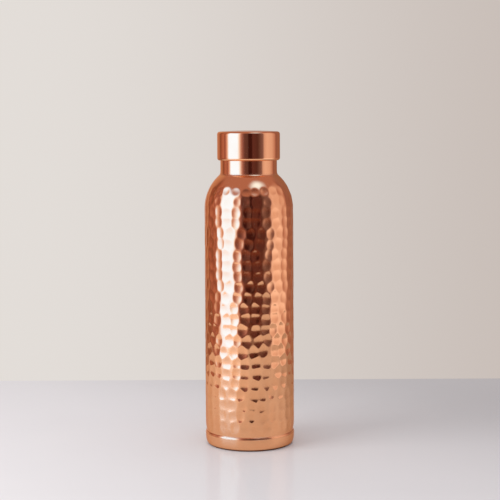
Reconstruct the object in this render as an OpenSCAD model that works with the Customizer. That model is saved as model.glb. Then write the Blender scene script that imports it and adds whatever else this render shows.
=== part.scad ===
// Hammered copper water bottle with a screw cap.
// Frame: origin at the centre of the foot's rest ring, +Z up the bottle's axis, millimetres.

/* [Body] */
// Height of the closed bottle, from the table to the top of the cap
bottle_h = 260; // [180:1:300]
// Outside diameter of the body and of the foot band
body_d = 74; // [70:0.5:80]
// Thickness of the hammered body sheet
body_wall = 0.5; // [0.4:0.05:0.8]
// Depth of the groove where the body enters the foot
groove_depth = 0.8; // [0.6:0.05:1.2]

/* [Foot] */
// Height of the plain band's upper corner above the table
band_z = 9.9; // [9:0.1:14]
// Height of the rounding between the rest ring and the band
foot_round_h = 8.1; // [4:0.1:8.5]
// Width of the rounding between the rest ring and the band
foot_round_w = 2.5; // [1.5:0.1:4]
// Width of the flat ring that the bottle stands on
rest_w = 1.1; // [0.6:0.1:2]
// Height of the pushed-up floor at its centre
floor_rise = 3.6; // [2.5:0.1:6]
// Thickness of the foot sheet
foot_wall = 0.6; // [0.5:0.05:0.8]

/* [Neck] */
// Outside diameter of the plain collar under the cap
collar_d = 46.6; // [46:0.1:47]
// Height of the collar that shows between the shoulder and the cap
collar_show = 11.1; // [6:0.1:16]
// Clear bore of the mouth tube below its rolled lip
mouth_bore_d = 41.4; // [40.4:0.1:41.6]
// Thickness of the collar and of the mouth tube
neck_wall = 0.8; // [0.6:0.05:0.8]

/* [Thread] */
// Rise of the thread in one turn
pitch = 4; // [3.9:0.05:4.1]
// Length of both threads in turns
thread_turns = 2.25; // [1.5:0.25:2.25]
// Height that the mouth tube's thread stands out from the tube
thread_depth = 1.2; // [1:0.05:1.2]

/* [Cap] */
// Outside diameter of the cap
cap_d = 51.7; // [51.4:0.1:54]
// Height of the cap
cap_h = 24.4; // [24.2:0.1:27]
// Thickness of the cap's sheet
cap_wall = 0.9; // [0.7:0.05:1]
// Rounding of the cap's upper edge
cap_edge_r = 2.3; // [1.6:0.1:3]
// Rise of the cap's top from its edge to its centre
cap_crown = 0.8; // [0.3:0.1:1]
// Thickness of the seal ring
seal_h = 2.45; // [2:0.05:2.5]

/* [Hidden] */
$fn = 96;

polished = "#d98a5e";
hammered = "#c9784c";
filler = "#e0a070";
silicone = "#e9e6df";

// Neck radii
mouth_in_r = mouth_bore_d / 2;
mouth_out_r = mouth_in_r + neck_wall;
collar_r = collar_d / 2;
collar_in_r = collar_r - neck_wall;

// Body and shoulder: the shoulder is a half sphere of the body's own radius, and the collar
// stands on it where it is as wide as the collar
body_r = body_d / 2;
groove_r = body_r - groove_depth;
groove_z = band_z + 2.3;
groove_run = 6.2;
body_low_z = foot_round_h + 0.2;
cap_low_z = bottle_h - cap_h;
shoulder_z = cap_low_z - collar_show - sqrt(body_r * body_r - collar_r * collar_r);

// Height of the shoulder's outer face at radius r
function dome_z(r) = shoulder_z + sqrt(body_r * body_r - r * r);

// Foot
rest_out_r = body_r - foot_round_w;
rest_in_r = rest_out_r - rest_w;
cup_lip = [groove_r + 0.45, band_z + 1.1];
floor_edge_r = rest_in_r - 2.9;
floor_edge_z = 2.4;

// Cap, from its top down to the lip that its seal presses on
cap_r = cap_d / 2;
cap_in_r = cap_r - cap_wall;
hem_r = 0.8;
hem_c = [cap_r - hem_r, cap_low_z + hem_r];
edge_c = [cap_r - cap_edge_r, bottle_h - cap_crown - cap_edge_r];
edge_start = 86;
crown_r = edge_c[0] + cap_edge_r * cos(edge_start);
crown_edge_z = edge_c[1] + cap_edge_r * sin(edge_start);
liner_wall = 0.8;
liner_top_z = bottle_h - cap_crown - cap_wall;
liner_corner = 1;
seal_top_z = liner_top_z - liner_wall - 0.15;
seal_low_z = seal_top_z - seal_h;
seal_edge = 0.3;
lip_z = seal_low_z - 0.1;

// Mouth tube: the bead is rolled inwards more than outwards, so the cap's thread passes it
collar_top_z = cap_low_z + 2.8;
bead_r = 0.85;
bead_c = [mouth_out_r - 0.6, lip_z - bead_r];
ferrule_low_z = dome_z(mouth_out_r) - 4.4;

// Thread ribs: a trapezium in section, sunk into the tube that carries it
rib_root_w = 2.2;
rib_crest_w = 0.8;
rib_sink = 0.3;
rib_steps = 48;
run_out_turns = 0.12;
thread_low_z = lip_z - 2 * bead_r - 0.4 - rib_root_w / 2 - pitch * thread_turns;
flank_gap = 0.22;
bead_gap = 0.2;
liner_in_r = mouth_out_r + thread_depth + 0.25;
liner_crest_r = mouth_out_r - 0.6 + bead_r + bead_gap;
liner_depth = liner_in_r - liner_crest_r;

// Half the width of a rib of the given depth at height h above its root
function rib_half(h, depth) = (rib_root_w - (rib_root_w - rib_crest_w) * h / depth) / 2;

// The cap's rib bears on the underside of the tube's rib, so it sits this far below it
rib_drop = flank_gap + max(
    rib_half(liner_crest_r - mouth_out_r, thread_depth) + rib_crest_w / 2,
    rib_crest_w / 2 + rib_half(liner_in_r - mouth_out_r - thread_depth, liner_depth));

// Liner and seal
liner_low_z = collar_top_z + 2;
seal_out_r = liner_in_r - 0.25;
seal_in_r = seal_out_r - 5.2;

// Points of an elliptical arc about c, with half-axes rx and rz, from angle a0 to a1
function arc(c, rx, rz, a0, a1, n) =
    [for (i = [0:n]) let (a = a0 + (a1 - a0) * i / n) [c[0] + rx * cos(a), c[1] + rz * sin(a)]];

// Points of the foot's floor from the rest ring to the axis, lifted by up: an S up from the
// ring to the floor's edge, then a shallow crown
function floor_line(up) = concat(
    [for (i = [0:8]) let (t = i / 8)
        [rest_in_r + (floor_edge_r - rest_in_r) * t, up + floor_edge_z * (1 - cos(180 * t)) / 2]],
    [for (i = [1:8]) let (r = floor_edge_r * (1 - i / 8))
        [r, up + floor_edge_z + (floor_rise - floor_edge_z) * (1 - pow(r / floor_edge_r, 2))]]);

// Points of the cap's crowned top from the axis to the edge rounding, lowered by drop
function crown_line(drop) =
    [for (i = [0:6]) let (r = crown_r * i / 6)
        [r, bottle_h - drop - (bottle_h - crown_edge_z) * pow(r / crown_r, 2)]];

function reverse(list) = [for (i = [len(list) - 1:-1:0]) list[i]];

// One rib of a right-hand thread. root is the radius of the surface that carries it, depth is
// positive outwards and negative inwards, and low_z is the height of its middle at angle first.
module thread_rib(root, depth, low_z, first) {
    n = round(rib_steps * thread_turns);
    side = sign(depth);
    points = [for (i = [0:n]) let (
            turns = thread_turns * i / n,
            a = first + 360 * turns,
            full = min(1, min(turns, thread_turns - turns) / run_out_turns),
            crest = root + side * ((abs(depth) + rib_sink / 2) * full - rib_sink / 2),
            sunk = root - side * rib_sink,
            z = low_z + pitch * turns)
        for (p = [[sunk, -rib_root_w / 2], [sunk, rib_root_w / 2],
                  [crest, rib_crest_w / 2], [crest, -rib_crest_w / 2]])
            [p[0] * cos(a), p[0] * sin(a), z + p[1]]];
    walls = [for (i = [0:n - 1]) for (k = [0:3]) let (
            p = 4 * i + k,
            q = 4 * i + (k + 1) % 4)
        each [[p, q + 4, q], [p, p + 4, q + 4]]];
    ends = [[0, 1, 2], [0, 2, 3], [4 * n + 2, 4 * n + 1, 4 * n], [4 * n + 3, 4 * n + 2, 4 * n]];
    faces = concat(walls, ends);
    polyhedron(points, side > 0 ? faces : [for (f = faces) reverse(f)]);
}

// Spun and hammered copper body: open at the foot, domed at the top, with a hole for the mouth
module body_shell() {
    in_r = body_r - body_wall;
    neck_a = acos(mouth_out_r / body_r);
    neck_in_a = acos(mouth_out_r / in_r);
    neck_in = [for (i = [0:8]) let (t = i / 8)
        [groove_r + groove_depth * sin(90 * t), groove_z + groove_run * t]];
    color(hammered) rotate_extrude() polygon(concat(
        [[groove_r, body_low_z]],
        neck_in,
        arc([0, shoulder_z], body_r, body_r, 0, neck_a, 24),
        reverse(arc([0, shoulder_z], in_r, in_r, 0, neck_in_a, 24)),
        reverse([for (p = neck_in) p - [body_wall, 0]]),
        [[groove_r - body_wall, body_low_z]]));
}

// Pressed copper foot: the plain band, the ring it stands on and the floor, pushed up
module base_cup() {
    round_c = [rest_out_r, foot_round_h];
    color(polished) rotate_extrude() polygon(concat(
        [cup_lip, [body_r, band_z]],
        arc(round_c, foot_round_w, foot_round_h, 0, -90, 12),
        floor_line(0),
        reverse(floor_line(foot_wall)),
        arc(round_c, foot_round_w - (body_r - groove_r), foot_round_h - foot_wall, -90, 0, 12),
        [[groove_r, cup_lip[1]]]));
}

// Ring of brazing filler in the corner between the foot's lip and the body
module base_braze() {
    color(filler) rotate_extrude() polygon([
        [groove_r, cup_lip[1]],
        cup_lip,
        [groove_r + 0.14, groove_z - 0.5],
        [groove_r, groove_z]]);
}

// Plain collar round the foot of the mouth tube, turned in at its top to meet the tube
module neck_collar() {
    seat = 0.01;
    corner = 0.5;
    color(polished) rotate_extrude() polygon(concat(
        [[collar_in_r, dome_z(collar_in_r) + seat], [collar_r, dome_z(collar_r) + seat]],
        arc([collar_r - corner, collar_top_z - corner], corner, corner, 0, 90, 6),
        [[mouth_out_r, collar_top_z],
         [mouth_out_r, collar_top_z - neck_wall],
         [collar_in_r, collar_top_z - neck_wall]]));
}

// Mouth tube with a rolled drinking lip and the outside thread
module mouth_ferrule() {
    bead_low = -acos((mouth_out_r - bead_c[0]) / bead_r);
    bead_in = 360 - acos((mouth_in_r - bead_c[0]) / bead_r);
    color(polished) union() {
        rotate_extrude() polygon(concat(
            [[mouth_in_r, ferrule_low_z], [mouth_out_r, ferrule_low_z]],
            arc(bead_c, bead_r, bead_r, bead_low, bead_in, 20)));
        thread_rib(mouth_out_r, thread_depth, thread_low_z, 0);
    }
}

// Brazing filler at the neck: a small fillet round the collar, and a ring hidden inside it
module neck_braze() {
    leg = 0.5;
    seat = 0.01;
    color(filler) rotate_extrude() polygon([
        [collar_r, dome_z(collar_r) + seat],
        [collar_r + leg, dome_z(collar_r + leg) + seat],
        [collar_r + 0.15, dome_z(collar_r) + 0.18],
        [collar_r, dome_z(collar_r) + leg]]);
    color(filler) rotate_extrude() polygon([
        [mouth_out_r, dome_z(mouth_out_r) + seat],
        [collar_in_r, dome_z(collar_in_r) + seat],
        [collar_in_r, dome_z(collar_in_r) + 1.5],
        [mouth_out_r, dome_z(mouth_out_r) + 1.5]]);
}

// Drawn cap: crowned top, rounded upper edge and a lower edge hemmed inwards
module cap_shell() {
    in_edge_r = cap_edge_r - cap_wall;
    color(polished) rotate_extrude() polygon(concat(
        crown_line(0),
        arc(edge_c, cap_edge_r, cap_edge_r, edge_start, 0, 8),
        arc(hem_c, hem_r, hem_r, 0, -255, 16),
        [[cap_in_r, hem_c[1] + 0.95]],
        arc(edge_c, in_edge_r, in_edge_r, 0, edge_start, 8),
        [for (p = reverse(crown_line(cap_wall))) if (p[0] < crown_r - 0.1) p]));
}

// Threaded insert pressed into the cap: closed at the top, with a rim that grips the skirt
module cap_liner() {
    out_r = liner_in_r + liner_wall;
    color(polished) union() {
        rotate_extrude() polygon(concat(
            [[liner_in_r, liner_low_z],
             [cap_in_r, liner_low_z],
             [cap_in_r, liner_low_z + liner_wall],
             [out_r, liner_low_z + liner_wall]],
            arc([out_r - liner_corner, liner_top_z - liner_corner], liner_corner, liner_corner, 0, 90, 6),
            [[0, liner_top_z],
             [0, liner_top_z - liner_wall],
             [liner_in_r, liner_top_z - liner_wall]]));
        thread_rib(liner_in_r, -liner_depth, thread_low_z - rib_drop + pitch / 4, 90);
    }
}

// Flat silicone ring held in the liner above its thread; the drinking lip presses on it
module cap_seal() {
    color(silicone) rotate_extrude() polygon([
        [seal_in_r + seal_edge, seal_low_z], [seal_out_r - seal_edge, seal_low_z],
        [seal_out_r, seal_low_z + seal_edge], [seal_out_r, seal_top_z - seal_edge],
        [seal_out_r - seal_edge, seal_top_z], [seal_in_r + seal_edge, seal_top_z],
        [seal_in_r, seal_top_z - seal_edge], [seal_in_r, seal_low_z + seal_edge]]);
}

body_shell();
base_cup();
base_braze();
neck_collar();
mouth_ferrule();
neck_braze();
cap_shell();
cap_liner();
cap_seal();
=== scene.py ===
"""A hammered copper water bottle with a screw cap, on a pale table in soft studio light."""

import math

import bpy
import numpy as np
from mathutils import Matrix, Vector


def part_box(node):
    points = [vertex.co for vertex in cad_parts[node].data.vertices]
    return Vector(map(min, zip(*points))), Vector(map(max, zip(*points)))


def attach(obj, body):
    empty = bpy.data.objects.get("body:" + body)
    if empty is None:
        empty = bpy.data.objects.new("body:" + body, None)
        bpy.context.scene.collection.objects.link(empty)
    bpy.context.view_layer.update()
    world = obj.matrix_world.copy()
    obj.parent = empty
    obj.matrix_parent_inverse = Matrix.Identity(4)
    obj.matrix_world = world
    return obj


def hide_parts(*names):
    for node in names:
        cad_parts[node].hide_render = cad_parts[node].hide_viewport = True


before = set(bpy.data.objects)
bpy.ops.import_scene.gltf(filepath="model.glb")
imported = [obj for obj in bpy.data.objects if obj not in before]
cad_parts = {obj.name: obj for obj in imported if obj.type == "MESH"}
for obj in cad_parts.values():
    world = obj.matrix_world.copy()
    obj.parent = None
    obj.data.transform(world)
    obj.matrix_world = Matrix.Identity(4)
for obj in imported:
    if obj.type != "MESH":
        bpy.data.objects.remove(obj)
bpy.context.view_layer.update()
mm = 0.001


# ---- Camera --------------------------------------------------------------------------------
# A long lens a little over a metre in front of the bottle, just above the top of its cap and
# aimed slightly down. It is tipped sideways by about a quarter of a degree.

camera_tilt = math.radians(90 - 5.532)
camera_lean = math.radians(0.29)
lens = bpy.data.cameras.new("camera")
lens.lens = 94.38
lens.sensor_width = 36.0
camera = bpy.data.objects.new("camera", lens)
camera.location = (1.3 * mm, -1079.8 * mm, 266.0 * mm)
camera.rotation_euler = (camera_tilt, camera_lean, 0.0)
bpy.context.collection.objects.link(camera)
bpy.context.scene.camera = camera
bpy.context.scene.view_settings.view_transform = "Standard"


# ---- Table ---------------------------------------------------------------------------------
# A pale matt table top. It ends half a metre in front of the bottle, so the lower part of the
# body mirrors the table and the upper part mirrors the dark room beyond its edge.


class Wire:
    """An output socket of a node tree. Arithmetic on a wire adds Math nodes to its tree."""

    def __init__(self, tree, socket=None):
        self.tree = tree
        self.socket = socket

    def add(self, kind, settings=None, sockets=None, out=0):
        """Adds a node of this kind and returns its output `out`. The settings go in first; the
        stops of a ramp are pairs of a place and a colour. Then each socket gets its value or
        its link."""
        node = self.tree.nodes.new(kind)
        settings = dict(settings or {})
        stops = settings.pop("stops", None)
        for name, value in settings.items():
            setattr(node, name, value)
        if stops:
            ramp = node.color_ramp.elements
            ramp.remove(ramp[1])
            ramp[0].position = stops[0][0]
            ramp[0].color = (*stops[0][1], 1.0)
            for place, colour in stops[1:]:
                ramp.new(place).color = (*colour, 1.0)
        for name, value in (sockets or {}).items():
            if isinstance(value, Wire):
                self.tree.links.new(value.socket, node.inputs[name])
            else:
                node.inputs[name].default_value = value
        return Wire(self.tree, node.outputs[out] if node.outputs else None)

    def split(self):
        """The three parts of a vector, as wires."""
        node = self.add("ShaderNodeSeparateXYZ", None, {0: self}).socket.node
        return [Wire(self.tree, socket) for socket in node.outputs]

    def math(self, operation, *values):
        return self.add("ShaderNodeMath", {"operation": operation}, dict(enumerate(values)))

    def ease(self, low, high):
        """0 below `low`, 1 above `high`, and a smooth rise between them."""
        shape = {"interpolation_type": "SMOOTHSTEP"}
        return self.add("ShaderNodeMapRange", shape, {0: self, 1: low, 2: high})

    def mix(self, first, second):
        """The colour `first` where this wire is 0, and `second` where it is 1."""
        ends = {0: self, 6: first, 7: second}
        return self.add("ShaderNodeMix", {"data_type": "RGBA"}, ends, out=2)

    def surface(self, sockets):
        """Ends a material with one Principled shader."""
        shader = self.add("ShaderNodeBsdfPrincipled", None, sockets)
        self.add("ShaderNodeOutputMaterial", None, {"Surface": shader})

    def __add__(self, other):
        return self.math("ADD", self, other)

    def __sub__(self, other):
        return self.math("SUBTRACT", self, other)

    def __rsub__(self, other):
        return self.math("SUBTRACT", other, self)

    def __mul__(self, other):
        return self.math("MULTIPLY", self, other)

    __radd__ = __add__
    __rmul__ = __mul__


def new_material(name):
    """An empty material, and a wire that its nodes start from."""
    made = bpy.data.materials.new(name)
    made.use_nodes = True
    made.node_tree.nodes.clear()
    return made, Wire(made.node_tree)


# Painted shade greys the laminate with x + y, towards its back right corner, and painted light whitens
# it towards its front edge, for the lamp's fall-off.
painted_shade_start = -20 * mm
painted_shade_end = 440 * mm
painted_shade_depth = 0.24
painted_light_start = 140 * mm
painted_light_end = 300 * mm


def laminate():
    """Matt off-white laminate: a very faint mottle, and a soft sheen that varies with it. Painted shade
    makes it a little greyer towards its back right corner, and painted light a little whiter at the
    front."""
    made, tree = new_material("table_laminate")
    place = tree.add("ShaderNodeTexCoord", out="Object")
    x, y, z = place.split()
    mottle = tree.add("ShaderNodeTexNoise", None, {"Vector": place, "Scale": 14.0, "Detail": 4.0})
    colour = mottle.mix((0.84, 0.83, 0.85, 1), (0.88, 0.87, 0.89, 1))
    # Painted shade: the colour darkens towards the back right corner.
    painted_shade = (x + y).ease(painted_shade_start, painted_shade_end) * painted_shade_depth
    colour = painted_shade.mix(colour, (0.0, 0.0, 0.0, 1))
    # Painted light: the colour whitens towards the front edge.
    colour = (-1.0 * y).ease(painted_light_start, painted_light_end).mix(colour, (0.97, 0.96, 0.98, 1))
    tree.surface({
        "Base Color": colour,
        "Specular IOR Level": 0.0,
        "Coat Weight": 0.35 + 0.15 * mottle,
        "Coat Roughness": 0.18,
    })
    return made


table_half = 450 * mm
table_front = -550 * mm
table_back = 266 * mm
table_corners = [
    (-table_half, table_front, 0),
    (table_half, table_front, 0),
    (table_half, table_back, 0),
    (-table_half, table_back, 0),
]
table_mesh = bpy.data.meshes.new("table")
table_mesh.from_pydata(table_corners, [], [(0, 1, 2, 3)])
table_mesh.materials.append(laminate())
table = bpy.data.objects.new("table", table_mesh)
bpy.context.collection.objects.link(table)


# ---- Studio --------------------------------------------------------------------------------
# Polished copper shows the room round it. The world holds that room for mirrored rays: a tall
# softbox on the left, a pale reflector on the right, a softbox overhead, and dark between them.
# It fills matt surfaces evenly. Two lamps where the softboxes hang cast the soft shadow.

# What the copper mirrors round the room: degrees from the front, to the right, and a colour.
room_bands = [
    (-180, (0.58, 0.51, 0.48)),
    (-168, (0.76, 0.67, 0.63)),
    (-133, (0.50, 0.30, 0.26)),
    (-125, (0.24, 0.12, 0.09)),
    (-114, (0.42, 0.19, 0.16)),
    (-104, (0.52, 0.27, 0.22)),
    (-98, (0.32, 0.15, 0.14)),
    (-92, (0.45, 0.22, 0.21)),
    (-87, (0.76, 0.52, 0.50)),
    (-82, (0.95, 1.00, 1.20)),
    (-77, (1.07, 2.08, 4.00)),
    (-41, (1.07, 2.08, 4.00)),
    (-37, (1.07, 1.74, 2.74)),
    (-33, (1.00, 1.15, 1.55)),
    (-28, (0.62, 0.42, 0.45)),
    (-22, (0.34, 0.19, 0.22)),
    (-14, (0.15, 0.08, 0.09)),
    (-2, (0.12, 0.07, 0.08)),
    (0, (0.05, 0.015, 0.015)),
    (12, (0.05, 0.015, 0.015)),
    (15, (0.13, 0.055, 0.06)),
    (34, (0.10, 0.045, 0.045)),
    (44, (0.18, 0.12, 0.13)),
    (54, (0.25, 0.17, 0.20)),
    (60, (0.76, 0.62, 0.64)),
    (72, (0.89, 0.77, 0.81)),
    (95, (0.80, 0.66, 0.68)),
    (113, (0.54, 0.34, 0.33)),
    (119, (0.31, 0.17, 0.16)),
    (128, (0.35, 0.22, 0.23)),
    (168, (0.38, 0.29, 0.26)),
    (180, (0.58, 0.51, 0.48)),
]
# The same for the floor beyond the table.
floor_bands = [
    (-180, (0.60, 0.53, 0.50)),
    (-130, (0.32, 0.19, 0.16)),
    (-110, (0.28, 0.12, 0.10)),
    (-94, (0.42, 0.20, 0.17)),
    (-84, (0.86, 0.74, 0.74)),
    (-77, (1.06, 1.75, 3.10)),
    (-42, (1.06, 1.75, 3.10)),
    (-32, (0.70, 0.48, 0.46)),
    (-20, (0.28, 0.12, 0.10)),
    (0, (0.17, 0.06, 0.045)),
    (38, (0.17, 0.06, 0.045)),
    (52, (0.40, 0.26, 0.25)),
    (62, (1.16, 1.14, 1.30)),
    (98, (1.06, 0.98, 1.06)),
    (116, (0.50, 0.31, 0.29)),
    (150, (0.42, 0.31, 0.29)),
    (180, (0.60, 0.53, 0.50)),
]
ceiling = (0.47, 0.27, 0.25, 1)
overhead_glow = (1.10, 1.90, 3.00, 1)
overhead_turn = math.radians(39)
overhead_tilt = math.radians(60)
overhead_half_turn = math.radians(33)
overhead_half_tilt = math.radians(13)
overhead_soft_from = -0.45
overhead_soft_to = 0.8
floor_starts = math.radians(1)
floor_full = math.radians(14)
ceiling_starts = math.radians(32)
ceiling_full = math.radians(48)
wall_foot = math.radians(-13.5)
wall_foot_half = math.radians(0.5)
wall_shade_from = -0.2
wall_shade_to = 0.3
wall_left = (0.768, 0.726, 0.690, 1)
wall_right = (0.56, 0.49, 0.452, 1)
below_table = (0.70, 0.66, 0.67, 1)
fill_light = (0.66, 0.635, 0.64, 1)

studio = bpy.data.worlds.new("studio")
studio.use_nodes = True
studio.node_tree.nodes.clear()
studio.cycles.sampling_method = "NONE"
bpy.context.scene.world = studio
room = Wire(studio.node_tree)
east, north, up = room.add("ShaderNodeTexCoord", out="Generated").split()
azimuth = room.math("ARCTAN2", east, -1.0 * north)
elevation = room.math("ARCSINE", up)
place_round = azimuth * (0.5 / math.pi) + 0.5


def round_the_room(bands):
    """The colour of the bands at this azimuth: a ramp that runs from -180 to 180 degrees."""
    stops = [((degrees + 180) / 360, colour) for degrees, colour in bands]
    return room.add("ShaderNodeValToRGB", {"stops": stops}, {0: place_round})


below = (-1.0 * elevation).ease(floor_starts, floor_full)
walls = below.mix(round_the_room(room_bands), round_the_room(floor_bands))
sideways = (azimuth - overhead_turn) * (1 / overhead_half_turn)
upwards = (elevation - overhead_tilt) * (1 / overhead_half_tilt)
from_lamp = room.math("SQRT", sideways * sideways + upwards * upwards)
overhead_seen = (1.0 - from_lamp).ease(overhead_soft_from, overhead_soft_to)
walls_up = elevation.ease(ceiling_starts, ceiling_full).mix(walls, ceiling)
mirrored = overhead_seen.mix(walls_up, overhead_glow)
wall = east.ease(wall_shade_from, wall_shade_to).mix(wall_left, wall_right)
above_table = elevation.ease(wall_foot - wall_foot_half, wall_foot + wall_foot_half)
seen = above_table.mix(below_table, wall)
is_seen = room.add("ShaderNodeLightPath", out="Is Camera Ray")
is_mirrored = room.add("ShaderNodeLightPath", out="Is Glossy Ray")
shown = is_seen.mix(is_mirrored.mix(fill_light, mirrored), seen)
glow = room.add("ShaderNodeBackground", None, {"Color": shown, "Strength": 1.0})
room.add("ShaderNodeOutputWorld", None, {"Surface": glow})


bottle_middle_z = 130 * mm


def softbox(name, turn, tilt, reach, width, depth, radiance):
    """A lamp at a distance `reach` from the middle of the bottle, aimed at it. A flat lamp of
    radiance L and area A gives off pi L A watts. Mirrored rays see the world's room instead."""
    lamp = bpy.data.lights.new(name, "AREA")
    lamp.shape = "RECTANGLE"
    lamp.size = width
    lamp.size_y = depth
    lamp.energy = radiance * math.pi * width * depth
    box = bpy.data.objects.new(name, lamp)
    level = reach * math.cos(tilt)
    box.location = (
        level * math.sin(turn),
        -level * math.cos(turn),
        bottle_middle_z + reach * math.sin(tilt),
    )
    box.rotation_euler = (math.pi / 2 - tilt, 0.0, turn)
    box.visible_glossy = False
    bpy.context.collection.objects.link(box)


left_turn = math.radians(-62)
left_tilt = math.radians(24)
softbox("left_softbox", left_turn, left_tilt, reach=0.8, width=0.5, depth=0.55, radiance=3.3)
softbox("overhead_softbox", overhead_turn, overhead_tilt, reach=1.3, width=0.7, depth=0.5, radiance=0.5)


# ---- Hammered body -------------------------------------------------------------------------
# One copper sheet half a millimetre thick, drawn to a tube with a domed shoulder and closed in
# to the neck. Some 620 hollows are hammered into it from outside, row by row, over a rounded
# stake. Its foot is necked in a little, so that the foot cup fits over it.


def around(r, z, columns):
    """Carries a section round the axis: x = r cos(turn), y = r sin(turn), z = z. r is a radius
    for each row, or one for each row and column."""
    turn = np.arange(columns) * 2 * np.pi / columns
    r = np.broadcast_to(np.reshape(r, (len(z), -1)), (len(z), columns))
    z = np.broadcast_to(np.reshape(z, (len(z), 1)), r.shape)
    return np.stack((r * np.cos(turn), r * np.sin(turn), z), axis=-1)


def skin(name, *grids):
    """Covers grids of points, in millimetres, with faces. Columns go round the axis and close.
    Rows follow the section, up the outside and down the inside, and close too. Where the
    first and the last row lie on the axis, each becomes one point with a fan of triangles."""
    points, faces, first = [], [], 0
    for grid in grids:
        columns = grid.shape[1]
        poles = np.abs(grid[[0, -1], :, :2]).max() < 1e-9
        inner = grid[1:-1] if poles else grid
        index = first + np.arange(inner.shape[0] * columns).reshape(-1, columns)
        above = index[1:] if poles else np.roll(index, -1, axis=0)
        below = index[:-1] if poles else index
        quads = np.stack((below, np.roll(below, -1, 1), np.roll(above, -1, 1), above), axis=-1)
        faces += quads.reshape(-1, 4).tolist()
        points.append(inner.reshape(-1, 3))
        first += inner.shape[0] * columns
        if poles:
            points.append(grid[[0, -1], 0])
            low, high = index[0], index[-1]
            bottom = np.full(columns, first)
            faces += np.stack((bottom, np.roll(low, -1), low), axis=-1).tolist()
            top = np.full(columns, first + 1)
            faces += np.stack((high, np.roll(high, -1), top), axis=-1).tolist()
            first += 2
    mesh = bpy.data.meshes.new(name)
    mesh.from_pydata((np.vstack(points) * mm).tolist(), [], faces)
    mesh.shade_smooth()
    piece = bpy.data.objects.new(name, mesh)
    bpy.context.collection.objects.link(piece)
    return piece


def copper(name, bright, deep, smooth, rough, lines, hollows=False, painted_shade_under=None):
    """Polished copper. Slow cloudy changes of tone and gloss come from handling and polishing;
    very fine lines run round the axis from the buffing wheel; a slow ripple bends mirrored
    edges a little, as it does on all thin spun sheet. With hollows, the deepest parts of the
    hammer marks, which the wheel reaches least, are deeper in colour and duller. Below a
    height given as the last argument, in metres, the copper is painted dark and made rougher:
    painted shade for the dark line where the foot meets the table."""
    made, tree = new_material(name)
    place = tree.add("ShaderNodeTexCoord", out="Object")
    x, y, z = place.split()
    r = tree.math("SQRT", x * x + y * y)
    cloud = tree.add("ShaderNodeTexNoise", None, {"Vector": place, "Scale": 38.0, "Detail": 3.0})
    smear = tree.add("ShaderNodeTexNoise", None, {"Vector": place, "Scale": 160.0, "Detail": 5.0})
    along = tree.add("ShaderNodeCombineXYZ", None, {0: x * 55, 1: y * 55, 2: (z + r) * 2600})
    line = tree.add("ShaderNodeTexNoise", None, {"Vector": along, "Scale": 1.0, "Detail": 2.0})
    tone = cloud.ease(0.35, 0.72) * 0.5 + smear.ease(0.5, 0.8) * 0.2
    gloss = cloud.ease(0.3, 0.7) * 0.5 + smear.ease(0.35, 0.75) * 0.5
    if hollows:
        depth = tree.add("ShaderNodeAttribute", {"attribute_name": "hollow"}, out="Fac")
        tone = tone + depth * 0.35
        gloss = gloss + depth * 0.3
    colour = tone.mix(bright, deep)
    # Painted shade: below the given height the colour is painted dark and the roughness raised, for the
    # dark line where the foot meets the table.
    if painted_shade_under:
        dark = 1.0 - z.ease(painted_shade_under * 0.8, painted_shade_under * 1.2)
        colour = dark.mix(colour, painted_shade_copper)
        gloss = gloss + dark * 3.0
    ripple = tree.add("ShaderNodeTexNoise", None, {"Vector": place, "Scale": 70.0, "Detail": 1.0})
    height = ripple * 0.02 + line * (0.0004 * lines)
    bump = tree.add("ShaderNodeBump", None, {"Strength": 1.0, "Distance": mm, "Height": height})
    tree.surface({
        "Base Color": colour,
        "Metallic": 1.0,
        "Specular Tint": (0.88, 0.62, 0.48, 1),
        "Roughness": smooth + (rough - smooth) * gloss + line * (0.02 * lines),
        "Normal": bump,
    })
    return made


mirror_copper = (0.93, 0.47, 0.24, 1)
deep_copper = (0.90, 0.42, 0.20, 1)
# The dark colour of the painted shade at the foot's lowest edge.
painted_shade_copper = (0.30, 0.11, 0.06, 1)
raw_copper = (0.72, 0.33, 0.17, 1)
raw_deep_copper = (0.52, 0.21, 0.11, 1)

body_low, body_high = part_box("body_shell")
foot_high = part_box("base_cup")[1]
tube_low, tube_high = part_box("mouth_ferrule")
body_r = body_high.x / mm
body_taper = 0.45
shoulder_r = body_r - body_taper
body_wall = 0.5
neck_hole_r = 21.5
foot_neck_in = 0.8
foot_seat_z = body_low.z / mm
flare_low_z = 12.2
flare_high_z = 18.4
taper_low_z = 45.0
shoulder_z = body_high.z / mm - math.sqrt(shoulder_r**2 - neck_hole_r**2)

hammer_r = 34.0
hollow_depth = 0.40
hollow_rows = 23
hollow_count = 27
first_row_z = 18.8
row_step = 9.13
row_closing = 0.0166
crest_sharpness = 22.0
low_rows = 4
low_row_depth = 1.08
depth_spread = 0.035
row_wander = 0.2
row_wander_kept = 0.7
mark_wander = 0.8
mark_height_spread = 0.6


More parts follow.
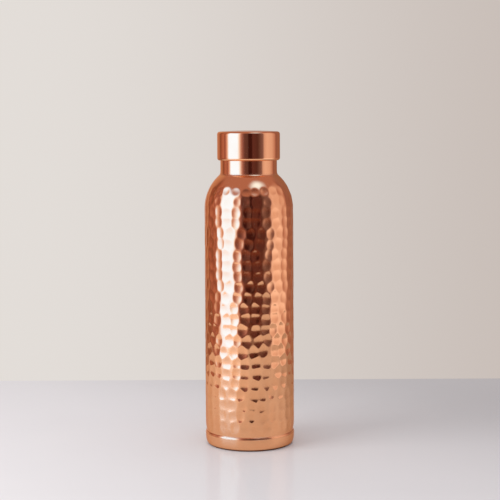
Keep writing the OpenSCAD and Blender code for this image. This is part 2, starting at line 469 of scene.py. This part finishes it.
def body_section(wall_rows, dome_rows, flare_rows, inset):
    """Radius, height and distance along the sheet for each row, from the foot to the neck: the
    necked-in foot, a quarter sine out to the full radius, a wall that narrows very slightly,
    and an arc of the shoulder's radius. The inset moves it inwards by that much."""
    seat_z = np.linspace(foot_seat_z, flare_low_z, 4)[:-1]
    flare_z = np.linspace(flare_low_z, flare_high_z, flare_rows)
    wall_z = np.linspace(flare_high_z, shoulder_z, wall_rows)[1:]
    arc_r = shoulder_r - inset
    arc = np.linspace(0, math.acos(neck_hole_r / arc_r), dome_rows)[1:]
    flare = np.sin((flare_z - flare_low_z) / (flare_high_z - flare_low_z) * np.pi / 2)
    taper = np.clip((wall_z - taper_low_z) / (shoulder_z - taper_low_z), 0, 1)
    r = np.concatenate((
        np.full(len(seat_z), body_r - foot_neck_in) - inset,
        body_r - foot_neck_in * (1 - flare) - inset,
        body_r - body_taper * taper - inset,
        arc_r * np.cos(arc),
    ))
    z = np.concatenate((seat_z, flare_z, wall_z, shoulder_z + arc_r * np.sin(arc)))
    along = np.concatenate((seat_z, flare_z, wall_z, shoulder_z + shoulder_r * arc))
    return r, z, along


def hollows(r, along, columns):
    """Depth of the hammer marks. Each is the dent of a ball of radius R in a sheet that already
    curves: across the axis the sheet bends away from the ball, so at u across and v along from
    its middle the depth is d - (1/R + 1/r) u squared / 2 - (1/R + k) v squared / 2, where k is
    the shoulder's curvature, or 0 on the straight wall. That makes the marks upright ovals.
    They stand above each other in wandering columns, and the lowest rows are struck a little
    harder. Where marks meet, the logarithm of a sum of exponentials blends them into a soft
    crest; outside them the depth fades to nothing."""
    chance = np.random.default_rng(11)
    turn = np.arange(columns) * 2 * np.pi / columns
    across_bend = 1 / hammer_r + 1 / body_r
    total = np.zeros((len(r), columns))
    slide = 0.0
    for row in range(hollow_rows):
        blow = low_row_depth if row < low_rows else 1.0
        depth = hollow_depth * blow + chance.normal(0, depth_spread, hollow_count)
        slide = row_wander_kept * slide + chance.normal(0, row_wander)
        middle = (np.arange(hollow_count) + slide) * 2 * np.pi / hollow_count
        middle += chance.normal(0, mark_wander / body_r, hollow_count)
        height = first_row_z + row_step * row - row_closing * row**2
        height = height + chance.normal(0, mark_height_spread, hollow_count)
        up_bend = 1 / hammer_r + (height > shoulder_z) / shoulder_r
        apart = (turn[:, None] - middle + np.pi) % (2 * np.pi) - np.pi
        across = apart * r[:, None, None]
        up = along[:, None, None] - height
        dent = depth - (across_bend * across**2 + up_bend * up**2) / 2
        total += np.exp(crest_sharpness * dent).sum(axis=2)
    return np.log1p(total) / crest_sharpness


body_columns = 320
out_r, out_z, out_along = body_section(wall_rows=230, dome_rows=30, flare_rows=10, inset=0.0)
in_r, in_z, in_along = body_section(wall_rows=26, dome_rows=8, flare_rows=4, inset=body_wall)
out_dent = hollows(out_r, out_along, body_columns)
in_dent = hollows(in_r + body_wall, in_along, body_columns)
outside = around(out_r[:, None] - out_dent, out_z, body_columns)
inside = around(in_r[:, None] - in_dent, in_z, body_columns)[::-1]
body = skin("hammered_body", np.concatenate((outside, inside)))
marks = np.concatenate((out_dent, np.zeros_like(in_dent))).ravel() / hollow_depth
hollow = body.data.attributes.new("hollow", "FLOAT", "POINT")
hollow.data.foreach_set("value", marks.astype(np.float32))
hammered = copper(
    "hammered_copper", mirror_copper, deep_copper, smooth=0.07, rough=0.13, lines=0.3, hollows=True
)
raw_inside = copper(
    "raw_copper_inside", raw_copper, raw_deep_copper, smooth=0.35, rough=0.5, lines=1.0
)
body.data.materials.append(hammered)
body.data.materials.append(raw_inside)
is_inside = np.repeat(np.arange(len(out_z) + len(in_z)) >= len(out_z) - 1, body_columns)
body.data.polygons.foreach_set("material_index", is_inside.astype(np.int32))
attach(body, "bottle")
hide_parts("body_shell")


# ---- Foot cup ------------------------------------------------------------------------------
# A plain spun cup of thicker copper, pushed over the body's foot and brazed there. It stands on
# a narrow ring; the floor inside the ring is pushed up, and its top edge is bevelled.


def bend(centre_r, centre_z, half_r, half_z, start, end, steps):
    """An arc of an ellipse as (r, z) points, between two angles in degrees from outwards."""
    t = np.radians(np.linspace(start, end, steps))
    return np.column_stack((centre_r + half_r * np.cos(t), centre_z + half_z * np.sin(t)))


def straight(start, end, steps):
    """Points on a straight line, closer together towards its ends, without the ends."""
    t = (1 - np.cos(np.linspace(0, np.pi, steps + 2)[1:-1])) / 2
    return np.array(start) + np.outer(t, np.subtract(end, start))


def turned(name, outline, columns):
    """A piece turned from one outline: a list of stretches of (r, z) points, joined in order."""
    points = np.vstack(outline)
    return skin(name, around(points[:, 0], points[:, 1], columns))


foot_r = foot_high.x / mm
foot_top_z = foot_high.z / mm
foot_wall = 0.6
rest_in_r = 33.4
rest_out_r = 34.5
ring_r = 34.2
foot_under_z = 0.7
foot_round_r = 34.95
foot_round_z = 8.1
band_z = 9.9
bevel_r = 36.65
seat_r = body_r - foot_neck_in
floor_edge_r = 30.5
floor_edge_z = 2.4
floor_z = 3.6
spun_ring_radii = (12.0, 22.0)
spun_ring_height = 0.22
spun_ring_width = 0.7
fine_round = 0.1
band_round = 0.25
# Painted shade: the height below which the foot's copper is painted dark.
painted_shade_under_z = 1.35 * mm


def floor_line(lift):
    """The pushed-up floor from the axis to the rest ring: a shallow crown with two spun rings,
    then half a cosine wave down to the ring."""
    crown_r = np.linspace(0, floor_edge_r, 64)
    crown_z = floor_z - (floor_z - floor_edge_z) * (crown_r / floor_edge_r) ** 2
    for spun_r in spun_ring_radii:
        crown_z = crown_z + spun_ring_height * np.exp(-(((crown_r - spun_r) / spun_ring_width) ** 2))
    slope = np.linspace(0, 1, 13)[1:]
    slope_r = floor_edge_r + (rest_in_r - floor_edge_r) * slope
    slope_z = floor_edge_z * (1 + np.cos(np.pi * slope)) / 2
    return np.column_stack((np.append(crown_r, slope_r), np.append(crown_z, slope_z) + lift))


foot = turned("foot_cup", [
    floor_line(0.0),
    straight((rest_in_r, 0), (ring_r - fine_round, 0), 3),
    bend(ring_r - fine_round, fine_round, fine_round, fine_round, -90, -40, 4),
    straight((ring_r, 0.06), (foot_round_r - 0.06, foot_under_z - 0.03), 4),
    bend(foot_round_r, foot_round_z, foot_r - foot_round_r, foot_round_z - foot_under_z, -90, 0, 22),
    straight((foot_r, foot_round_z), (foot_r, band_z - band_round), 4),
    bend(foot_r - band_round, band_z - band_round, band_round, band_round, 0, 72, 5),
    straight((foot_r - 0.1, band_z + 0.1), (bevel_r, foot_top_z - fine_round), 3),
    bend(bevel_r - fine_round, foot_top_z - fine_round, fine_round, fine_round, 20, 90, 4),
    [(seat_r, foot_top_z)],
    straight((seat_r, foot_top_z), (seat_r, foot_round_z), 3),
    bend(rest_out_r, foot_round_z, seat_r - rest_out_r, foot_round_z - foot_wall, 0, -90, 14),
    floor_line(foot_wall)[::-1],
], 240)
foot_copper = copper(
    "foot_copper", mirror_copper, deep_copper, smooth=0.08, rough=0.14, lines=1.0,
    painted_shade_under=painted_shade_under_z,
)
foot.data.materials.append(foot_copper)
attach(foot, "bottle")
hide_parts("base_cup")


# ---- Filler at the foot --------------------------------------------------------------------
# The brazing filler that ran into the corner between the foot cup and the body. It was polished
# down with the copper beside it, to a small sloping face.


def filler():
    """Copper and silver filler: paler than the sheet, softer in gloss and slightly lumpy."""
    made, tree = new_material("braze_filler")
    place = tree.add("ShaderNodeTexCoord", out="Object")
    lump = tree.add("ShaderNodeTexNoise", None, {"Vector": place, "Scale": 420.0, "Detail": 3.0})
    lumpy = {"Strength": 0.5, "Distance": 0.01 * mm, "Height": lump}
    bump = tree.add("ShaderNodeBump", None, lumpy)
    tree.surface({
        "Base Color": lump.mix((0.93, 0.50, 0.27, 1), (0.90, 0.45, 0.23, 1)),
        "Metallic": 1.0,
        "Specular Tint": (0.88, 0.66, 0.52, 1),
        "Roughness": 0.12 + 0.1 * lump,
        "Normal": bump,
    })
    return made


filler_metal = filler()
fillet_top_z = flare_low_z - 0.5
fillet_foot_r = bevel_r - 0.03
fillet_edge = 0.05
foot_fillet = turned("foot_filler", [
    [(seat_r, foot_top_z), (fillet_foot_r, foot_top_z)],
    straight((fillet_foot_r, foot_top_z), (seat_r + fillet_edge, fillet_top_z - fillet_edge), 3),
    [(seat_r + fillet_edge, fillet_top_z - fillet_edge), (seat_r, fillet_top_z)],
    straight((seat_r, fillet_top_z), (seat_r, foot_top_z), 3),
], 240)
foot_fillet.data.materials.append(filler_metal)
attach(foot_fillet, "bottle")
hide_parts("base_braze")


# ---- Neck collar ---------------------------------------------------------------------------
# A plain spun ring between shoulder and cap. Its top is turned in to the mouth tube, and its
# foot is cut to the curve of the shoulder and brazed to it.

collar_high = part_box("neck_collar")[1]
collar_r = collar_high.x / mm
collar_top_z = collar_high.z / mm
collar_wall = 0.8
collar_edge_r = 0.5
collar_in_r = collar_r - collar_wall


def dome_z(r):
    """Height of the shoulder's outside at a radius r: that of a ball of the shoulder's radius."""
    return shoulder_z + np.sqrt(shoulder_r**2 - np.square(r))


def collar_flare(steps):
    """The collar's foot: its radius grows with the square of the distance below the flare's
    start, down to the shoulder."""
    z = np.linspace(dome_z(flare_foot_r), flare_top_z, steps)
    drop = (flare_top_z - z) / (flare_top_z - z[0])
    return np.column_stack((collar_r + (flare_foot_r - collar_r) * drop**2, z))


flare_foot_r = collar_r + 0.35
flare_top_z = dome_z(collar_r) + 3.6
collar_under_z = collar_top_z - collar_wall
collar = turned("neck_collar", [
    straight((collar_in_r, dome_z(collar_in_r)), (flare_foot_r, dome_z(flare_foot_r)), 2),
    collar_flare(12),
    straight((collar_r, flare_top_z), (collar_r, collar_top_z - collar_edge_r), 8),
    bend(collar_r - collar_edge_r, collar_top_z - collar_edge_r, collar_edge_r, collar_edge_r, 0, 90, 8),
    straight((collar_r - collar_edge_r, collar_top_z), (neck_hole_r, collar_top_z), 3),
    [(neck_hole_r, collar_top_z), (neck_hole_r, collar_under_z)],
    straight((neck_hole_r, collar_under_z), (collar_in_r, collar_under_z), 2),
    [(collar_in_r, collar_under_z)],
    straight((collar_in_r, collar_under_z), (collar_in_r, dome_z(collar_in_r)), 6),
    [(collar_in_r, dome_z(collar_in_r))],
], 200)
neck_copper = copper("neck_copper", mirror_copper, deep_copper, smooth=0.07, rough=0.12, lines=1.0)
collar.data.materials.append(neck_copper)
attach(collar, "bottle")
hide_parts("neck_collar")


# ---- Mouth tube ----------------------------------------------------------------------------
# The tube inside the collar that one drinks from. Its thread is rolled into the sheet, so the
# inside shows it too, and its lip is curled inwards over itself to a smooth bead.


def rib(z, columns, start_z, start_turn, depth):
    """Height of a rolled thread over a grid of rows and columns. It is measured from the
    nearest turn of a helix that rises one pitch each turn: full across the crest, then half a
    cosine wave down each flank to nothing, and run out gradually at both ends."""
    turns = np.arange(columns) / columns - start_turn
    travel = (np.reshape(z, (-1, 1)) - start_z) / thread_pitch - turns % 1.0
    whole = np.round(travel)
    apart = np.abs(travel - whole) * thread_pitch
    gone = whole + turns % 1.0
    flank = np.clip((apart - thread_crest_half) / thread_flank, 0, 1)
    fade = np.clip(np.minimum(gone, thread_turns - gone) / thread_run_out, 0, 1)
    return depth * (1 + np.cos(np.pi * flank)) / 2 * (3 - 2 * fade) * fade**2


thread_pitch = 4.0
thread_turns = 2.25
thread_crest_half = 0.4
thread_flank = 0.7
thread_run_out = 0.12
thread_low_z = 242.6
thread_high_z = thread_low_z + thread_pitch * thread_turns
inner_share = 0.9
tube_wall = 0.8
tube_r = neck_hole_r
tube_depth = 1.2
lip_z = tube_high.z / mm
tube_low_z = tube_low.z / mm
bead_r = 0.85
bead_centre_r = tube_r - tube_wall + 0.2
tube_columns = 180

wall_z = np.concatenate((
    np.linspace(tube_low_z, thread_low_z - 1.4, 14),
    np.linspace(thread_low_z - 1.2, thread_high_z + 1.2, 58),
))
wall_rib = rib(wall_z, tube_columns, thread_low_z, 0.0, tube_depth)
bead = bend(bead_centre_r, lip_z - bead_r, bead_r, bead_r, -45, 256, 22)
tube_outside = around(tube_r + wall_rib, wall_z, tube_columns)
tube_inside = around(tube_r - tube_wall + wall_rib * inner_share, wall_z, tube_columns)[::-1]
mouth_tube = skin("mouth_tube", np.concatenate((
    tube_outside,
    around(bead[:, 0], bead[:, 1], tube_columns),
    tube_inside,
)))
satin_copper = (0.88, 0.45, 0.26, 1)
satin_deep_copper = (0.78, 0.36, 0.19, 1)
mouth_copper = copper(
    "mouth_copper", satin_copper, satin_deep_copper, smooth=0.2, rough=0.32, lines=1.5
)
mouth_tube.data.materials.append(mouth_copper)
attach(mouth_tube, "bottle")
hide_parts("mouth_ferrule")


# ---- Filler at the neck --------------------------------------------------------------------
# Two rings of brazing filler: a small fillet round the collar's foot, and one inside the
# collar that joins the mouth tube to the shoulder.

fillet_r = 2.4
fillet_start = 190.0
fillet_end = 180 + math.degrees(math.acos(flare_foot_r / shoulder_r))
fillet_lift = 0.3 * fillet_r
fillet_slant = math.radians(fillet_start - 180)
arc_r = flare_foot_r + fillet_r * math.cos(fillet_slant)
arc_z = dome_z(flare_foot_r) + fillet_lift + fillet_r * math.sin(fillet_slant)
ring_top_z = dome_z(collar_in_r) + 1.5
fillet = np.vstack((
    bend(arc_r, arc_z, fillet_r, fillet_r, fillet_end, fillet_start, 12),
    [(flare_foot_r - 0.12, dome_z(flare_foot_r) + fillet_lift)],
    [(flare_foot_r - 0.05, dome_z(flare_foot_r - 0.05))],
))
hidden_ring = np.vstack((
    [(tube_r, dome_z(tube_r)), (collar_in_r, dome_z(collar_in_r))],
    straight((collar_in_r, dome_z(collar_in_r)), (collar_in_r, ring_top_z), 3),
    [(collar_in_r, ring_top_z), (collar_in_r - 0.45, ring_top_z - 0.5), (tube_r, ring_top_z)],
    straight((tube_r, ring_top_z), (tube_r, dome_z(tube_r)), 3),
))
neck_filler = skin(
    "neck_filler",
    around(fillet[:, 0], fillet[:, 1], 200),
    around(hidden_ring[:, 0], hidden_ring[:, 1], 200),
)
neck_filler.data.materials.append(filler_metal)
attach(neck_filler, "bottle")
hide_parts("neck_braze")


# ---- Cap -----------------------------------------------------------------------------------
# A spun copper cap with a faintly crowned top and a rounded edge. Its lower edge is hemmed: the
# sheet is folded inwards and pressed flat against itself, which gives a smooth round rim.

cap_low, cap_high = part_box("cap_shell")
cap_r = cap_high.x / mm
cap_top_z = cap_high.z / mm
cap_wall = 0.9
cap_in_r = cap_r - cap_wall
cap_edge_r = 2.3
cap_crown = 0.8
edge_centre = (cap_r - cap_edge_r, cap_top_z - cap_crown - cap_edge_r)
hem_low_z = cap_low.z / mm
hem_half_w = 1.6
hem_half_h = 2.2
hem_r = cap_r - hem_half_w
hem_z = hem_low_z + hem_half_h
hem_in_r = cap_in_r - 0.85
hem_top_z = hem_low_z + 3.6
hem_fold_r = 0.42
hem_under = 0.3


def crown(top_z, drop, end_r, steps):
    """A crowned disc from the axis out: its height falls with the square of the radius."""
    r = np.linspace(0, end_r, steps)
    return np.column_stack((r, top_z - drop * (r / end_r) ** 2))


cap = turned("cap_shell", [
    crown(cap_top_z - cap_wall, cap_crown, edge_centre[0], 12),
    bend(edge_centre[0], edge_centre[1], cap_edge_r - cap_wall, cap_edge_r - cap_wall, 86, 0, 8),
    straight((cap_in_r, edge_centre[1]), (cap_in_r, hem_top_z), 10),
    [(cap_in_r, hem_top_z)],
    bend((cap_in_r + hem_in_r) / 2, hem_top_z, hem_fold_r, hem_fold_r, 0, 180, 8),
    straight((hem_in_r, hem_top_z), (hem_in_r, hem_low_z + hem_under), 5),
    bend(hem_r, hem_low_z + hem_under, hem_r - hem_in_r, hem_under, 180, 265, 5),
    bend(hem_r, hem_z, hem_half_w, hem_half_h, -90, 0, 18),
    straight((cap_r, hem_z), (cap_r, edge_centre[1]), 20),
    bend(edge_centre[0], edge_centre[1], cap_edge_r, cap_edge_r, 0, 86, 16),
    crown(cap_top_z, cap_crown, edge_centre[0], 24)[::-1],
], 240)
cap_copper = copper("cap_copper", mirror_copper, deep_copper, smooth=0.06, rough=0.11, lines=1.0)
cap.data.materials.append(cap_copper)
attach(cap, "cap")
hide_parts("cap_shell")


# ---- Cap liner -----------------------------------------------------------------------------
# A threaded copper cup pressed into the cap. Its thread is rolled inwards, its rim is flanged
# out to the cap's wall, and the cap's seal lies against its flat top.

liner_low, liner_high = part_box("cap_liner")
liner_low_z = liner_low.z / mm
liner_top_z = liner_high.z / mm
liner_wall = 0.8
liner_in_r = 22.95
liner_out_r = liner_in_r + liner_wall
liner_depth = 1.0
liner_start_z = 242.055
liner_start_turn = 0.25
liner_columns = 180
liner_end_z = liner_start_z + thread_pitch * thread_turns
inner_edge_r = 0.6
outer_edge_r = 1.0
flange_inner_r = 0.4
flange_outer_r = 0.15
under_roof_z = liner_top_z - liner_wall
flange_top_z = liner_low_z + liner_wall

liner_z = np.concatenate((
    np.linspace(liner_low_z + 0.35, liner_start_z - 1.3, 3),
    np.linspace(liner_start_z - 1.1, liner_end_z + 1.1, 58),
    np.linspace(liner_end_z + 1.5, liner_top_z - 1.9, 8),
))
liner_rib = rib(liner_z, liner_columns, liner_start_z, liner_start_turn, liner_depth)
inner_top = np.vstack((
    crown(under_roof_z, 0.0, liner_in_r - inner_edge_r, 10),
    bend(liner_in_r - inner_edge_r, under_roof_z - inner_edge_r, inner_edge_r, inner_edge_r, 80, 10, 6),
))
flange_in = liner_in_r + flange_inner_r
flange_out = cap_in_r - flange_outer_r
flange = np.vstack((
    bend(flange_in, liner_low_z + flange_inner_r, flange_inner_r, flange_inner_r, 180, 270, 6),
    straight((flange_in, liner_low_z), (flange_out, liner_low_z), 4),
    bend(flange_out, liner_low_z + flange_outer_r, flange_outer_r, flange_outer_r, 270, 360, 4),
    [(cap_in_r, flange_top_z)],
    straight((cap_in_r, flange_top_z), (liner_out_r, flange_top_z), 3),
))
outer_z = liner_z[liner_z > flange_top_z + 0.2]
outer_rib = rib(outer_z, liner_columns, liner_start_z, liner_start_turn, liner_depth)
roof = np.vstack((
    bend(liner_out_r - outer_edge_r, liner_top_z - outer_edge_r, outer_edge_r, outer_edge_r, 0, 90, 7),
    crown(liner_top_z, 0.0, liner_out_r - outer_edge_r - 0.2, 8)[::-1],
))
liner = skin("cap_liner", np.concatenate((
    around(inner_top[:, 0], inner_top[:, 1], liner_columns),
    around(liner_in_r - liner_rib, liner_z, liner_columns)[::-1],
    around(flange[:, 0], flange[:, 1], liner_columns),
    around(liner_out_r - outer_rib * inner_share, outer_z, liner_columns),
    around(roof[:, 0], roof[:, 1], liner_columns),
)))
liner_copper = copper(
    "liner_copper", satin_copper, satin_deep_copper, smooth=0.24, rough=0.38, lines=1.5
)
liner.data.materials.append(liner_copper)
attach(liner, "cap")
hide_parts("cap_liner")


# ---- Seal ----------------------------------------------------------------------------------
# A flat ring of food-grade silicone that lies in the top of the cap and presses on the lip. It
# is cut from moulded sheet, so its edges are broken and its face has two low sealing ridges.


def silicone():
    """Milky white silicone rubber: matt, slightly see-through, with a fine moulded grain."""
    made, tree = new_material("seal_silicone")
    place = tree.add("ShaderNodeTexCoord", out="Object")
    grain = tree.add("ShaderNodeTexNoise", None, {"Vector": place, "Scale": 900.0, "Detail": 3.0})
    cloud = tree.add("ShaderNodeTexNoise", None, {"Vector": place, "Scale": 90.0, "Detail": 2.0})
    grainy = {"Strength": 0.3, "Distance": 0.03 * mm, "Height": grain}
    bump = tree.add("ShaderNodeBump", None, grainy)
    tree.surface({
        "Base Color": cloud.mix((0.84, 0.82, 0.77, 1), (0.78, 0.76, 0.71, 1)),
        "Roughness": 0.45 + 0.2 * grain,
        "Subsurface Weight": 0.15,
        "Subsurface Scale": 1.0 * mm,
        "Normal": bump,
    })
    return made


seal_low, seal_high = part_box("cap_seal")
seal_out_r = seal_high.x / mm
seal_in_r = 17.5
seal_low_z = seal_low.z / mm
seal_top_z = seal_high.z / mm
broken = 0.3
ridge_height = 0.18
ridge_width = 0.25
face_steps = 44

# The face looks down. Its two ridges reach lowest, and the rest lies a ridge's height above.
face_r = np.linspace(seal_in_r + broken, seal_out_r - broken, face_steps)
face_z = np.full(face_steps, seal_low_z)
for ridge_r in (bead_centre_r - 1.6, bead_centre_r + 1.2):
    face_z = face_z + ridge_height * (1 - np.exp(-(((face_r - ridge_r) / ridge_width) ** 2)))
face_z = face_z - face_z.min() + seal_low_z
seal = turned("cap_seal", [
    bend(seal_in_r + broken, seal_low_z + ridge_height + broken, broken, broken, 180, 260, 5),
    np.column_stack((face_r, face_z)),
    bend(seal_out_r - broken, seal_low_z + ridge_height + broken, broken, broken, -80, 0, 5),
    straight((seal_out_r, seal_low_z + broken), (seal_out_r, seal_top_z - broken), 3),
    bend(seal_out_r - broken, seal_top_z - broken, broken, broken, 0, 90, 5),
    straight((seal_out_r - broken, seal_top_z), (seal_in_r + broken, seal_top_z), 6),
    bend(seal_in_r + broken, seal_top_z - broken, broken, broken, 90, 180, 5),
], 180)
seal.data.materials.append(silicone())
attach(seal, "seal")
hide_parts("cap_seal")
